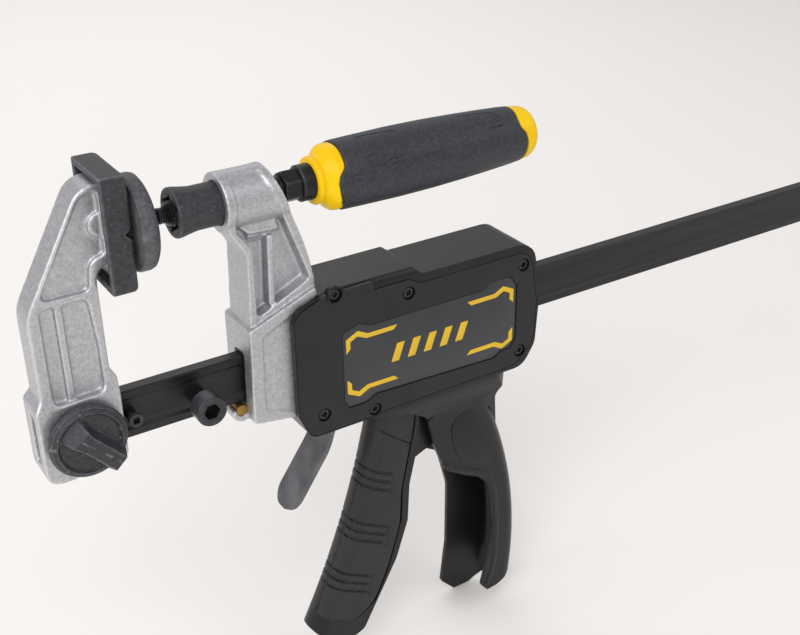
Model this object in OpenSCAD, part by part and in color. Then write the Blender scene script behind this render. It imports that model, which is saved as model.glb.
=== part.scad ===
// Quick release bar clamp: a pistol grip clamp with a ratchet free trigger drive
// and a screw spindle in the moving jaw for the last of the force.
//
// Millimetres. +X runs along the bar from the fixed jaw to its free end, +Z is up,
// -Y is the side with the cover and the screws. The origin is on the spindle axis,
// in the plane of the fixed pad's clamping face. The parts of the fixed end are drawn
// with x from that face, and the parts of the moving jaw with x from its nose. Both
// take z from the underside of the bar.

/* [Bar] */
// Height of the bar
bar_h = 28.5; // [26:0.5:31]
// Thickness of the bar at its edges
bar_t = 8; // [7:0.5:9]
// Height of the full thickness edges of the bar
bar_edge_h = 4.6; // [3.5:0.1:6]
// Depth of the groove in each side of the bar
bar_groove = 1.4; // [0.8:0.1:1.8]

/* [Opening] */
// Reach from the top of the bar to the spindle axis
throat = 90.1; // [86:0.1:100]
// Greatest opening between the pads
capacity = 300; // [200:5:320]
// Gap between the pads at rest
pad_gap = 2.4; // [2.2:0.1:6]

/* [Fixed jaw] */
// Width of the fixed jaw's arm
fixed_arm_w = 19; // [17:0.5:21]
// Width of the fixed jaw's block round the bar
fixed_block_w = 23; // [22:0.5:26]
// Depth of the pockets in the arm's sides
fixed_pocket = 3; // [1.5:0.5:4.5]
// Height of the fixed pad
cap_h = 61; // [56:1:66]
// Width of the fixed pad
cap_w = 39; // [36:1:44]
// Depth of the fixed pad from front to back
cap_d = 14; // [12:0.5:16]
// Wall of the fixed pad
cap_wall = 3.2; // [2.5:0.1:4]
// Thickness of the fixed pad's face
face_t = 5.6; // [5:0.1:6.4]
// Depth of the groove across the fixed pad's face
groove_d = 4; // [1.5:0.1:4.4]

/* [Release knob] */
// Diameter of the knob
knob_d = 41.6; // [36:0.2:44]
// Thickness of the knob's body
knob_t = 8.2; // [7:0.2:9]
// Height of the grip fin above the knob's back
fin_top = 14.5; // [12:0.5:17]
// Diameter of the lock shaft
lock_d = 12; // [10:0.5:13]

/* [Swivel pad] */
// Diameter of the swivel pad
pad_d = 50; // [44:1:52]
// Thickness of the swivel pad's disc
pad_t = 9.6; // [7:0.1:10.4]
// Diameter of the ball on the spindle
ball_d = 10; // [9:0.5:11]
// Length of the neck between the pad and the sleeve
neck_l = 7.9; // [7.4:0.1:14]

/* [Spindle] */
// Diameter of the spindle's thread
thread_d = 14; // [12:0.5:15]
// Length of the nose sleeve that stands out of the jaw
sleeve_l = 25.5; // [24:0.5:34]
// Length of bare thread between the top of the jaw's barrel and the collar
thread_bare = 10; // [8:0.5:14]
// Diameter of the handle's grip at its widest
grip_d = 39.4; // [34:0.2:42]
// Length of the handle's grip
grip_l = 121.5; // [110:0.5:140]

/* [Moving jaw] */
// Width of the moving jaw's arm
arm_w = 26; // [24:1:28]
// Width of the moving jaw's block round the bar
block_w = 32; // [30:1:35]
// Outer diameter of the spindle barrel
barrel_d = 30; // [28:0.5:31]
// Thickness of the web between the arm's pockets
web_t = 9; // [6:0.5:12]

/* [Housing] */
// Width of the housing
house_w = 40; // [39:1:44]
// Wall of the housing
house_wall = 3; // [2.5:0.1:3.5]
// Thickness of the side cover
cover_t = 3.6; // [3:0.1:4]
// Gap all round the side cover
cover_gap = 0.3; // [0.2:0.05:0.5]
// Diameter of the screw heads
screw_head_d = 7.6; // [7:0.1:8.4]
// Diameter of the screw shanks
screw_d = 4; // [3:0.5:4.5]
// Width of the rear handle
handle_w = 29; // [28:0.5:32]

/* [Trigger and levers] */
// Width of the trigger
trigger_w = 22; // [20:0.5:22.5]
// Height of the trigger's pivot above the bar
pivot_rise = 15; // [14:0.5:16]
// Diameter of the trigger's pivot pin
pivot_d = 6; // [5:0.5:6.5]
// Thickness of the steel drive plates and of the release lever
plate_t = 3; // [2.5:0.1:3.4]
// Width of the release lever
lever_w = 23; // [18:1:24]

/* [Clearances] */
// Gap between the bar and what slides on it
slide_fit = 0.25; // [0.15:0.05:0.4]
// Gap all round a shaft that turns in a bore
turn_fit = 0.06; // [0.03:0.01:0.09]
// Gap between parts that lie against each other
seat_fit = 0.2; // [0.1:0.05:0.3]

/* [Hidden] */
$fn = 48;
e = 0.01;                                  // overlap of cuts
axis_h = bar_h + throat;                   // spindle axis above the underside of the bar
bar_mid = bar_h / 2;
bar_x0 = -56;                              // front end of the bar
slot_h = bar_h + 2 * slide_fit;
slot_w = bar_t + 2 * slide_fit;

knob_x = -36;                              // the knob's axis
knob_y = -fixed_block_w / 2 - seat_fit;    // back of the knob
pin_r = 3;                                 // locating pin and bar end pin
stop_x = 28;                               // axis of the stop bolt
stop_r = 5;                                // the stop bolt's shank
stop_out = 26.3;                           // face of the stop bolt's head

ball_r = ball_d / 2;
cup_t = 1.6;                               // wall of the ball cup
pad_x = pad_gap;                           // front of the swivel pad
ball_x = pad_x + pad_t + 1;                // centre of the ball
neck_r = 4.2;
thread_r = thread_d / 2;
nose_x = ball_x + ball_r + neck_l;         // where the thread starts
jaw_x = pad_x + pad_t + neck_l + sleeve_l + 6.6;  // nose of the moving jaw
house_x0 = 29.6;                           // front edge of the housing, from the nose
house_x1 = 198.6;                          // rear of the housing
bar_tail = 13.4;                           // bar left behind the housing at full opening
bar_len = jaw_x + house_x1 + capacity + bar_tail - bar_x0;

barrel_r = barrel_d / 2;
rim = 1.2;                                 // rims that stand out at the barrel's ends
barrel_l = 26.5;                           // length of the spindle barrel along its top
bush_r = thread_r + 3;                     // outside of the threaded bush
collar_x = jaw_x + barrel_l + thread_bare; // hex collar on the spindle

half_w = house_w / 2;
pivot_x = 86.5;                            // trigger pivot, from the nose
pivot_z = bar_h + pivot_rise;
plates_x = 87.2;                           // front of the drive plates
plate_gap = 0.2;                           // between the two drive plates
lever_x = 56.5;                            // release lever where the bar passes it

// ---------------------------------------------------------------- helpers

// One rounded corner at p1 between p0 and p2, as arc points. Each point is [x, y, radius].
function flat(p) = [p[0], p[1]];
function way(a, b) = (flat(b) - flat(a)) / norm(flat(b) - flat(a));
function arc_corner(p0, p1, p2, n) =
    let (a = way(p1, p0), b = way(p1, p2), r = p1[2],
         half = acos(max(-1, min(1, a * b))) / 2,
         c = flat(p1) + (a + b) / norm(a + b) * r / sin(half),
         s = flat(p1) + a * r / tan(half) - c,
         turn = (a[0] * b[1] - a[1] * b[0] > 0 ? -1 : 1) * (180 - 2 * half))
    [for (i = [0:n]) c + [s[0] * cos(turn * i / n) - s[1] * sin(turn * i / n),
                          s[0] * sin(turn * i / n) + s[1] * cos(turn * i / n)]];
function rounded(p, n = 5) = [for (i = [0:len(p) - 1])
    each (len(p[i]) < 3 || p[i][2] == 0) ? [flat(p[i])]
        : arc_corner(p[(i + len(p) - 1) % len(p)], p[i], p[(i + 1) % len(p)], n)];
// The corner b pulled in by t from both its edges, for an outline that runs clockwise
function pulled(a, b, c, t) =
    let (u = way(b, a), v = way(b, c), s = u[0] * v[1] - u[1] * v[0],
         half = acos(max(-1, min(1, u * v))) / 2)
    flat(b) + (u + v) / norm(u + v) * t / sin(half) * (s > 0 ? 1 : -1);
function pulled_in(p, t) = [for (i = [0:len(p) - 1])
    let (q = pulled(p[(i + len(p) - 1) % len(p)], p[i], p[(i + 1) % len(p)], t))
    [q[0], q[1], max(1, p[i][2] - t)]];

// An outline in x and z, extruded across from y0 to y1.
module side(y0, y1) translate([0, y1, 0]) rotate([90, 0, 0]) linear_extrude(y1 - y0) children();
module plate(p, y0, y1) side(y0, y1) polygon(rounded(p));
// An outline in y and z, extruded along from x0 to x1.
module along(x0, x1) translate([x0, 0, 0]) rotate([90, 0, 90]) linear_extrude(x1 - x0) children();
module rod_x(x0, x1, r, z = 0) translate([x0, 0, z]) rotate([0, 90, 0]) cylinder(h = x1 - x0, r = r);
module rod_y(x, z, r, y0, y1) translate([x, y1, z]) rotate([90, 0, 0]) cylinder(h = y1 - y0, r = r);
// A profile of [x, radius] turned about the spindle axis.
module turned(p) rotate([0, 90, 0]) rotate([0, 0, 180]) rotate_extrude() polygon([for (q = p) [q[1], q[0]]]);
module on_bar() translate([0, 0, -axis_h]) children();
module on_jaw() translate([jaw_x, 0, -axis_h]) children();
module bar_slot(x0, x1, extra = 0)
    translate([x0, -slot_w / 2 - extra, -slide_fit - extra])
        cube([x1 - x0, slot_w + 2 * extra, slot_h + 2 * extra]);
// A coil spring round the x axis from x0 to x1.
module coil(x0, x1, r, wire, turns) {
    steps = 14;
    sides = 6;
    n = steps * turns;
    pts = [for (i = [0:n], k = [0:sides - 1])
        let (a = 360 * i / steps, b = 360 * k / sides, q = r + wire * cos(b))
        [x0 + wire + (x1 - x0 - 2 * wire) * i / n + wire * sin(b), q * cos(a), q * sin(a)]];
    walls = [for (i = [0:n - 1], k = [0:sides - 1])
        let (a = i * sides + k, b = i * sides + (k + 1) % sides) [a, b, b + sides, a + sides]];
    first = [[for (k = [sides - 1:-1:0]) k]];
    last = [[for (k = [0:sides - 1]) n * sides + k]];
    polyhedron(pts, concat(walls, first, last), convexity = 8);
}

// ---------------------------------------------------------------- bar

module bar_section() {
    t = bar_t / 2;
    w = t - bar_groove;
    f = bar_edge_h;
    c = 0.7;
    half = [[t - c, 0], [t, c], [t, f], [w, f + bar_groove], [w, bar_h - f - bar_groove],
        [t, bar_h - f], [t, bar_h - c], [t - c, bar_h]];
    polygon(concat(half, [for (i = [7:-1:0]) [-half[i][0], half[i][1]]]));
}
module bar() color("#2b2c2e") on_bar() difference() {
    along(bar_x0, bar_x0 + bar_len) bar_section();
    rod_y(stop_x, bar_mid, stop_r, -bar_t, bar_t);
    rod_y(jaw_pin_x, bar_mid, pin_r, -bar_t, bar_t);
    rod_y(end_pin_x, bar_mid, pin_r, -bar_t, bar_t);
    // keyhole for the flatted lock shaft, open to the end of the bar
    rod_y(knob_x, bar_mid, lock_d / 2 + 0.3, -bar_t, bar_t);
    translate([bar_x0 - 1, -bar_t, bar_mid - lock_flat / 2 - 0.4])
        cube([knob_x - bar_x0 + 1, 2 * bar_t, lock_flat + 0.8]);
}
lock_flat = lock_d * 0.55;                 // thickness of the lock shaft across its flats
jaw_pin_x = -8.7;
end_pin_x = bar_x0 + bar_len - 8;

module bar_stop_bolt() color("#1f2022") on_bar() difference() {
    union() {
        rod_y(stop_x, bar_mid, stop_r, -stop_out, bar_t / 2 + 1);
        rod_y(stop_x, bar_mid, stop_r * 1.7, -stop_out, -stop_out + 2 * stop_r);
    }
    translate([stop_x, -stop_out + 6, bar_mid]) rotate([90, 0, 0])
        cylinder(h = 7, r = stop_r * 0.92, $fn = 6);
}
module jaw_locating_pin() color("#1f2022") on_bar() difference() {
    union() {
        rod_y(jaw_pin_x, bar_mid, pin_r, -12.2, bar_t / 2 + 1);
        rod_y(jaw_pin_x, bar_mid, pin_r + 0.8, -12.2, -9);
    }
    translate([jaw_pin_x, -10, bar_mid]) rotate([90, 45, 0]) cylinder(h = 3, r = 2.4, $fn = 4);
}
module bar_end_pin() color("#1f2022") on_bar()
    rod_y(end_pin_x, bar_mid, pin_r, -bar_t / 2 - 5, bar_t / 2 + 5);

// ---------------------------------------------------------------- fixed jaw

arm_out = -55;                             // outer face of the arm
arm_in = -17.8;                            // throat face of the arm
block_out = -58.7;
block_in = -14.5;
head_x0 = -9.6;                            // back of the head plate inside the pad
cap_rise = 2.5;                            // middle of the fixed pad above the spindle axis
head_x1 = -face_t - seat_fit;
head_h = cap_h - 2 * (cap_wall + seat_fit);
head_w = cap_w - 2 * (cap_wall + seat_fit);

module fixed_arm_outline() polygon(rounded([
    [arm_in, bar_h, 0], [arm_in, axis_h - 14.4, 8], [head_x0 + 1, axis_h - 14.4, 0],
    [head_x0 + 1, axis_h + 27.6, 0], [-21, axis_h + 27.6, 14], [arm_out, axis_h - 33.5, 22],
    [arm_out, bar_h, 0]]));
module fixed_upper_pocket() polygon(rounded([
    [-12, axis_h - 8.9, 3], [-12, axis_h + 23.6, 3], [-20.8, axis_h + 23.6, 8.5], [-48, axis_h - 26.4, 3],
    [-22.5, axis_h - 26.4, 3], [-20.5, axis_h - 10.9, 7]]));
module fixed_lower_pocket() polygon(rounded([
    [-48.5, 35, 3], [-21.8, 36, 4], [-21.8, 60, 3], [-24.2, axis_h - 29.9, 4], [-48.5, axis_h - 30.5, 3]]));
module fixed_block_outline() polygon(rounded([
    [block_in, -4.5, 2], [-44, -9.5, 6], [block_out, -9.5, 7], [block_out, 34, 2], [arm_out, 40, 0],
    [arm_in, 46, 0], [block_in, 42, 3]]));

module fixed_jaw() color("#c3c5c8") on_bar() {
    arm = fixed_arm_w / 2;
    block = fixed_block_w / 2;
    pocket_y = arm - fixed_pocket;
    difference() {
        union() {
            side(-arm, arm) fixed_arm_outline();
            // block round the bar, bevelled up to the arm
            intersection() {
                side(-block, block) fixed_block_outline();
                along(block_out - 1, block_in + 1) polygon([[-block, -20], [-block, 35], [-arm, 39.5], [-arm, 50],
                    [arm, 50], [arm, 39.5], [block, 35], [block, -20]]);
            }
            // head plate that the pad is pushed onto
            translate([head_x0, -head_w / 2, axis_h + cap_rise - head_h / 2])
                cube([head_x1 - head_x0, head_w, head_h]);
        }
        for (m = [0, 1]) mirror([0, m, 0]) difference() {
            union() {
                side(pocket_y, arm + 1) fixed_upper_pocket();
                side(pocket_y, block + 1) fixed_lower_pocket();
            }
            // upright rib, and the round pad behind the screw seat
            translate([-40.8, pocket_y - 1, 30]) cube([3.8, fixed_pocket + 0.6, 62]);
            rod_y(-12.1, axis_h + 6.1, 6.5, pocket_y - 1, arm - 0.8);
        }
        bar_slot(block_out - 1, block_in + 1);
        rod_y(knob_x, bar_mid, lock_d / 2 + turn_fit, -block - 1, -slot_w / 2 + 0.5);
        rod_y(knob_x, bar_mid, lock_end_r + turn_fit, slot_w / 2 - 0.5, block + 1);
    }
}
lock_end_r = 4;                            // the lock shaft where it leaves the far side

module fixed_pad() color("#303236") difference() {
    w = cap_w / 2;
    h = cap_h / 2;
    inner_w = w - cap_wall;
    inner_h = h - cap_wall;
    // rounded front edges from two crossed outlines
    intersection() {
        side(-w, w) translate([0, cap_rise]) polygon(rounded([[-cap_d, -h], [0, -h, cap_round],
            [0, h, cap_round], [-cap_d, h]]));
        translate([0, 0, -h]) linear_extrude(cap_h + 2 * cap_rise) polygon(rounded([[-cap_d, -w, 1],
            [0, -w, cap_round], [0, w, cap_round], [-cap_d, w, 1]]));
    }
    // hollow back, with the seat of the head plate at its front
    translate([-cap_d - 1, -inner_w, cap_rise - inner_h])
        cube([cap_d + 1 - face_t, 2 * inner_w, 2 * inner_h]);
    // V groove across the face for round stock
    side(-w - 1, w + 1) translate([0, cap_rise])
        polygon([[0.5, -groove_d - 0.5], [0.5, groove_d + 0.5], [-groove_d, 0]]);
}
cap_round = 3.2;                           // round of the pad's front edges

// ---------------------------------------------------------------- knob and lock shaft

module release_knob() color("#26272a") on_bar() translate([knob_x, knob_y, bar_mid]) difference() {
    r = knob_d / 2;
    union() {
        // bevelled body with a recessed face
        rotate([90, 0, 0]) rotate_extrude() polygon([[0, 0], [r - 1.8, 0], [r - 1.4, 0.6], [r, knob_t - 2.6],
            [r - 0.2, knob_t - 1.6], [r - 1.2, knob_t - 0.8], [r - 3.4, knob_t], [r - 4.6, knob_t - 0.2],
            [r - 5.2, knob_t - 1.2], [0, knob_t - 1.6]]);
        rotate([0, knob_turn, 0]) translate([0, -knob_t + 2, 0]) rotate([90, 0, 0])
            knob_fin(r, fin_top - knob_t + 2);
    }
    rotate([90, 0, 0]) translate([0, 0, -1]) cylinder(h = 4.5, r = lock_d / 2 + seat_fit / 4);
}
knob_turn = -43;                           // lie of the grip fin at rest
// Grip fin across the face, h high, steep at its outer end and sloped at the other
module knob_fin(r, h) intersection() {
    rotate([90, 0, 0]) translate([0, 0, -r]) linear_extrude(2 * r)
        polygon(rounded([[-6.4, 0], [6.4, 0], [4.6, h, 1], [-4.6, h, 1]]));
    rotate([90, 0, 90]) translate([0, 0, -10]) linear_extrude(20)
        polygon(rounded([[1 - r, 0], [13.4, 0], [9.6, h, 2], [3 - r, h, 1.5]]));
}
module lock_shaft() color("#8f9296") on_bar() {
    block = fixed_block_w / 2;
    rod_y(knob_x, bar_mid, lock_d / 2, -block - 3.4, -bar_t / 2 - 0.6);
    intersection() {
        rod_y(knob_x, bar_mid, lock_d / 2, -bar_t / 2 - 0.7, bar_t / 2 + slide_fit / 2);
        translate([knob_x - lock_flat / 2, -bar_t, 0]) cube([lock_flat, 2 * bar_t, bar_h]);
    }
    difference() {
        rod_y(knob_x, bar_mid, lock_end_r, bar_t / 2 - 0.5, block + 3.2);
        difference() {
            rod_y(knob_x, bar_mid, lock_end_r + 1, block + 0.7, block + 2);
            rod_y(knob_x, bar_mid, lock_end_r - 1, block + 0.6, block + 2.1);
        }
    }
}
module lock_shaft_clip() color("#8f9296") on_bar() difference() {
    block = fixed_block_w / 2;
    rod_y(knob_x, bar_mid, lock_end_r + 3.4, block + 0.8, block + 1.9);
    rod_y(knob_x, bar_mid, lock_end_r - 0.9, block, block + 3);
    translate([knob_x - 2.6, block, bar_mid - 12]) cube([5.2, 3, 12]);
}

// ---------------------------------------------------------------- moving jaw

module arm_outline() polygon(rounded([
    [0, axis_h - 13.5, 3], [9, axis_h - 28, 5], [7.4, bar_h + 20, 0], [6, bar_h + 12, 0],
    [44, bar_h + 28, 0], [48, bar_h + 32.5, 0], [48, bar_h + 38, 30], [43.8, bar_h + 59, 150],
    [barrel_l, axis_h + barrel_r + rim, 0], [0, axis_h + barrel_r + rim, 0]]));
module arm_pocket() polygon(rounded([
    [12, bar_h + 24.6, 2], [44.9, bar_h + 40.2, 3], [23.6, axis_h + barrel_r - 4, 0],
    [barrel_l - flange_t, axis_h + barrel_r + rim + 1, 0], [4, axis_h + barrel_r + rim + 1, 0],
    [4, axis_h - 13.5, 3], [12.2, axis_h - 25, 5]]));
flange_t = 5.2;                            // flange along the arm's rear edge
module block_outline(t = 0) polygon(rounded(pulled_in([
    [4.2, -9.6, 2], [5.4, bar_h + 19.5, 1.5], [46.2, bar_h + 35.5, 1], [48, bar_h + 31, 2],
    [38, bar_h + 20, 2], [32, bar_h + 20, 1], [32, -13.6, 2]], t)));
// Tongue behind the block, held in the housing by a screw under the bar
module tongue_outline(t = 0) polygon(rounded(pulled_in([
    [28, -9.5, 1], [28, bar_h + 14, 1], [47.6, bar_h + 14, 3], [47.6, -8, 1], [50.5, -11, 2], [50.5, -20, 4],
    [41, -20, 4], [38, -9.5, 2]], t)));

module moving_jaw() color("#c3c5c8") on_jaw() difference() {
    arm = arm_w / 2;
    block = block_w / 2;
    union() {
        difference() {
            intersection() {
                side(-arm, arm) arm_outline();
                along(0, 60) union() {
                    translate([-arm, 0]) square([2 * arm, axis_h]);
                    translate([0, axis_h]) circle(r = barrel_r + rim);
                }
            }
            for (s = [-1, 1]) side(s > 0 ? web_t / 2 : -arm - 1, s > 0 ? arm + 1 : -web_t / 2) arm_pocket();
        }
        // spindle barrel, cut to the slope of the arm's rear edge, with a rim at each end
        rod_x(-0.8, 4, barrel_r + rim, axis_h);
        intersection() {
            rod_x(0, 60, barrel_r, axis_h);
            side(-barrel_d, barrel_d) arm_outline();
        }
        intersection() {
            rod_x(4, 60, barrel_r + rim, axis_h);
            side(-barrel_d, barrel_d) difference() {
                arm_outline();
                arm_pocket();
            }
        }
        // upright rib in the pockets, and the stepped gusset under the barrel
        side(-arm + 1.5, arm - 1.5) polygon([[20.3, bar_h + 30], [23.9, bar_h + 30], [25.4, axis_h - 20],
            [21.7, axis_h - 20]]);
        difference() {
            side(-gusset, gusset) gusset_outline();
            for (s = [-1, 1]) side(s > 0 ? gusset - 0.8 : -gusset - 1, s > 0 ? gusset + 1 : -gusset + 0.8)
                polygon(rounded([[9.6, axis_h - 8], [9.6, axis_h - 13], [13, axis_h - 16.2, 1],
                    [26.6, axis_h - 17, 1], [25, axis_h - 8]]));
        }
        side(-gusset + 1.8, gusset - 1.8) polygon(rounded([[12, axis_h - 17], [31, axis_h - 18],
            [31.4, axis_h - 20.6, 1], [12.2, axis_h - 20.6, 1]]));
        side(-gusset + 3.4, gusset - 3.4) polygon(rounded([[12.4, axis_h - 20], [21.5, axis_h - 20],
            [21.5, axis_h - 23, 1], [13, axis_h - 23, 1]]));
        // block round the bar with a shallow panel in each side
        difference() {
            side(-block, block) block_outline();
            for (s = [-1, 1]) side(s > 0 ? block - 0.8 : -block - 1, s > 0 ? block + 1 : -block + 0.8)
                polygon(rounded([[11.5, -2.5, 2], [12.4, bar_h + 14.5, 5], [49, bar_h + 31], [49, -12], [27, -8.5, 0]]));
        }
        // tongue inside the housing
        side(-tongue_w / 2, tongue_w / 2) tongue_outline();
        // boss on the tongue that the side cover is screwed down on
        rod_y(jaw_screw[0], jaw_screw[1], boss_r, -half_w + cover_t + cover_gap, 0);
        // lug under the bar that holds the guide pin
        rod_y(guide_x, guide_z - 1.2, guide_r + 2.6, -8, 8);
        translate([guide_x, -8, -9.6]) cube([8, 16, 5]);
    }
    bar_slot(-10, 60);
    bar_slot(-10, 8.5, 1.6);
    bar_slot(12, 28, 1.2);
    rod_y(guide_x, guide_z, guide_r + e, -9, 9);
    translate([guide_x - 12, -9, guide_z + 1]) cube([15, 18, 10 - guide_z]);
    rod_x(-1, 60, bush_r, axis_h);
    rod_x(-1, sleeve_seat, sleeve_r + 0.05, axis_h);
    rod_y(jaw_screw[0], jaw_screw[1], screw_d / 2 + 0.3, -half_w, half_w);
}
module gusset_outline() polygon(rounded([
    [5, axis_h - 8], [27, axis_h - 8], [30.5, axis_h - 18.4, 1], [12.2, axis_h - 17.6, 1],
    [7, axis_h - 12.6, 1]]));
gusset = 9.4;                              // half the width of the gusset
tongue_w = 24;
guide_r = 3.2;
guide_x = 1;
guide_z = -guide_r - 0.1;
sleeve_seat = 6;                           // depth of the sleeve in the barrel
sleeve_r = 11.6;                           // outside of the sleeve
mouth_r = 13.3;                            // its flared mouth

module guide_pin() color("#b8893b") on_jaw() rod_y(guide_x, guide_z, guide_r, -7.4, 7.4);
// Two hardened wear pads let into the slot, above and below the bar
module jaw_wear_pads() color("#8f9296") on_jaw() for (z = [-slide_fit - 1.2, bar_h + 0.1])
    translate([12.2, -bar_t / 2, z]) cube([15.6, bar_t, 1.2 + slide_fit - 0.1]);

module thread_bush() color("#a9abad") translate([jaw_x, 0, 0]) difference() {
    rod_x(sleeve_seat + seat_fit, barrel_l - 0.5, bush_r);
    rod_x(0, barrel_l, thread_r + turn_fit);
}
module nose_sleeve() color("#2a2b2e") difference() {
    x0 = jaw_x - sleeve_l;
    turned([[x0, 0], [x0, mouth_r - 0.6], [x0 + 1, mouth_r], [x0 + 3, mouth_r - 0.1], [x0 + 7, mouth_r - 0.9],
        [x0 + 12, sleeve_r], [jaw_x + sleeve_seat, sleeve_r], [jaw_x + sleeve_seat, 0]]);
    rod_x(x0 - 1, jaw_x + 20, thread_r + 0.9);
    rod_x(x0 - 1, x0 + 6, thread_r + 1.6);
    // notches round the mouth
    for (a = [0:60:300]) rotate([a, 0, 0]) translate([x0 - 1, -1.4, 0]) cube([6, 2.8, thread_r + 3.2]);
}

// ---------------------------------------------------------------- spindle and swivel pad

module spindle() color("#3a3b3e") union() {
    turned([[nose_x - 6, 0], [nose_x - 6, neck_r], [nose_x - 3, neck_r], [nose_x, thread_r - 0.8],
        [nose_x + 0.8, thread_r], [collar_x + 10, thread_r], [collar_x + 10, 0]]);
    rod_x(ball_x, nose_x - 5, neck_r);
    translate([ball_x, 0, 0]) sphere(r = ball_r);
    // hex collar, round collar and the square tang inside the handle
    translate([collar_x, 0, 0]) rotate([0, 90, 0]) cylinder(h = 10, r = 9, $fn = 6);
    rod_x(collar_x + 9.6, collar_x + 20, 10);
    translate([collar_x + 19, -5, -5]) cube([tang_l, 10, 10]);
}
module ball_cup() color("#8f9296") difference() {
    intersection() {
        translate([ball_x, 0, 0]) sphere(r = ball_r + turn_fit + cup_t);
        rod_x(ball_x - ball_r - 4, ball_x + 2.2, ball_r + 4);
    }
    translate([ball_x, 0, 0]) sphere(r = ball_r + turn_fit);
}
module swivel_pad() color("#2d2f33") difference() {
    r = pad_d / 2;
    x = pad_x;
    back = pad_x + pad_t;
    turned([[x, 0], [x, r - 2.2], [x + 0.7, r - 0.7], [x + 2.2, r], [back - 3, r], [back - 1.2, r - 0.6],
        [back, r - 2.4], [back + 0.6, r - 6], [back + 1.4, 12], [back + 1.6, 9], [back + 3.4, 7.8],
        [back + 4.2, 7], [back + 4.2, 0]]);
    // ball seat, with a wide mouth for the neck to swing in
    translate([ball_x, 0, 0]) sphere(r = ball_r + turn_fit + cup_t + cup_fit);
    rod_x(ball_x, back + 6, ball_r + 0.4);
}
cup_fit = 0.06;                            // between the cup and its seat in the pad

module handle_core() color("#f2c200") difference() {
    x0 = collar_x + 17.5;
    union() {
        turned([[x0, 10.4], [x0, 12.4], [x0 + 1, 13.2], [x0 + 2.4, 13.2], [x0 + 4, 12.9], [x0 + 6, 14.4],
            [x0 + 8, 17], [x0 + 9.5, 18.1], [x0 + 14.5, 18.1], [grip_x, 17.4], [grip_x, 10.4]]);
        rod_x(x0 + 3, grip_x + grip_l - 4, grip_bore);
    }
    rod_x(x0 - 1, collar_x + 20.2, 10.2);
    translate([collar_x + 20, -5.1, -5.1]) cube([tang_l - 0.8, 10.2, 10.2]);
    rod_x(grip_x + grip_l - 6, grip_x + grip_l, 5);
}
tang_l = 70;                               // square tang from the ring collar back
grip_bore = 12;                            // core inside the grip
grip_x = collar_x + 35;                    // front of the grip
module handle_grip() color("#303236") difference() {
    r = grip_d / 2;
    x = grip_x;
    l = grip_l;
    turned([[x, 0], [x, r - 1.4], [x + 1.5, r - 0.7], [x + 12, r - 0.3], [x + 34, r], [x + 56, r - 0.2],
        [x + 76, r - 1], [x + 95, r - 1.9], [x + l - 12, r - 2.8], [x + l - 4, r - 3.8], [x + l - 1, r - 5],
        [x + l, r - 6.4], [x + l, 0]]);
    rod_x(x - 1, x + l + 1, grip_bore + 0.02);
}
module handle_end_cap() color("#f2c200") {
    x = grip_x + grip_l + 0.1;
    turned([[x, 0], [x, grip_d / 2 - 4.8], [x + 1, grip_d / 2 - 4.4], [x + 3, grip_d / 2 - 5],
        [x + 6, grip_d / 2 - 8], [x + 7.4, grip_d / 2 - 12], [x + 7.6, 0]]);
    rod_x(x - 5, x + 1, 4.9);
}

// ---------------------------------------------------------------- housing

house_top = bar_h + 27.2;                  // top behind the hump
hump_top = bar_h + 32;
house_bot = -28.2;
screws = [[56, hump_top - 2.4], [103.8, bar_h + 17.5], [186, bar_h + 13.5], [185, -16.5], [79.5, -23],
    [46, -15.5]];
jaw_screw = screws[5];                     // the one that passes through the jaw's tongue

module house_outline(t = 0) polygon(rounded(pulled_in([
    [house_x0, -12, 4], [house_x0, bar_h + 19, 4], [33, bar_h + 25.5, 6], [54, hump_top, 4],
    [107.5, hump_top, 3], [113.5, house_top, 5], [house_x1 - 5, house_top, 13],
    [house_x1, 15, 14], [house_x1 - 2, -14, 14], [house_x1 - 11, house_bot, 12],
    [37, house_bot, 8]], t)));

module cover_outline(t) polygon(rounded(pulled_in([
    [house_x0 + 0.2, -12, 4], [house_x0 + 0.2, bar_h + 19, 4], [33, bar_h + 24.5, 6], [50, hump_top - 1, 3],
    [80.2, hump_top - 0.4, 1], [81.4, hump_top - 5.6, 1], [104, hump_top - 5.6, 3], [112, house_top - 5, 5],
    [house_x1 - 7.5, house_top - 5, 11], [house_x1 - 1.6, 15, 14], [house_x1 - 3, -11, 14],
    [house_x1 - 16, house_bot + 2.4, 14], [86, house_bot + 1.8, 2], [79, house_bot + 0.3, 3],
    [37, house_bot + 0.3, 8]], t)));
// The cover's outline with the lobe round its top screw, pulled in by t
module cover_body(t, y0, y1) {
    side(y0, y1) cover_outline(t);
    rod_y(screws[0][0], screws[0][1], 5.4 - t, y0, y1);
}

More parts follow.
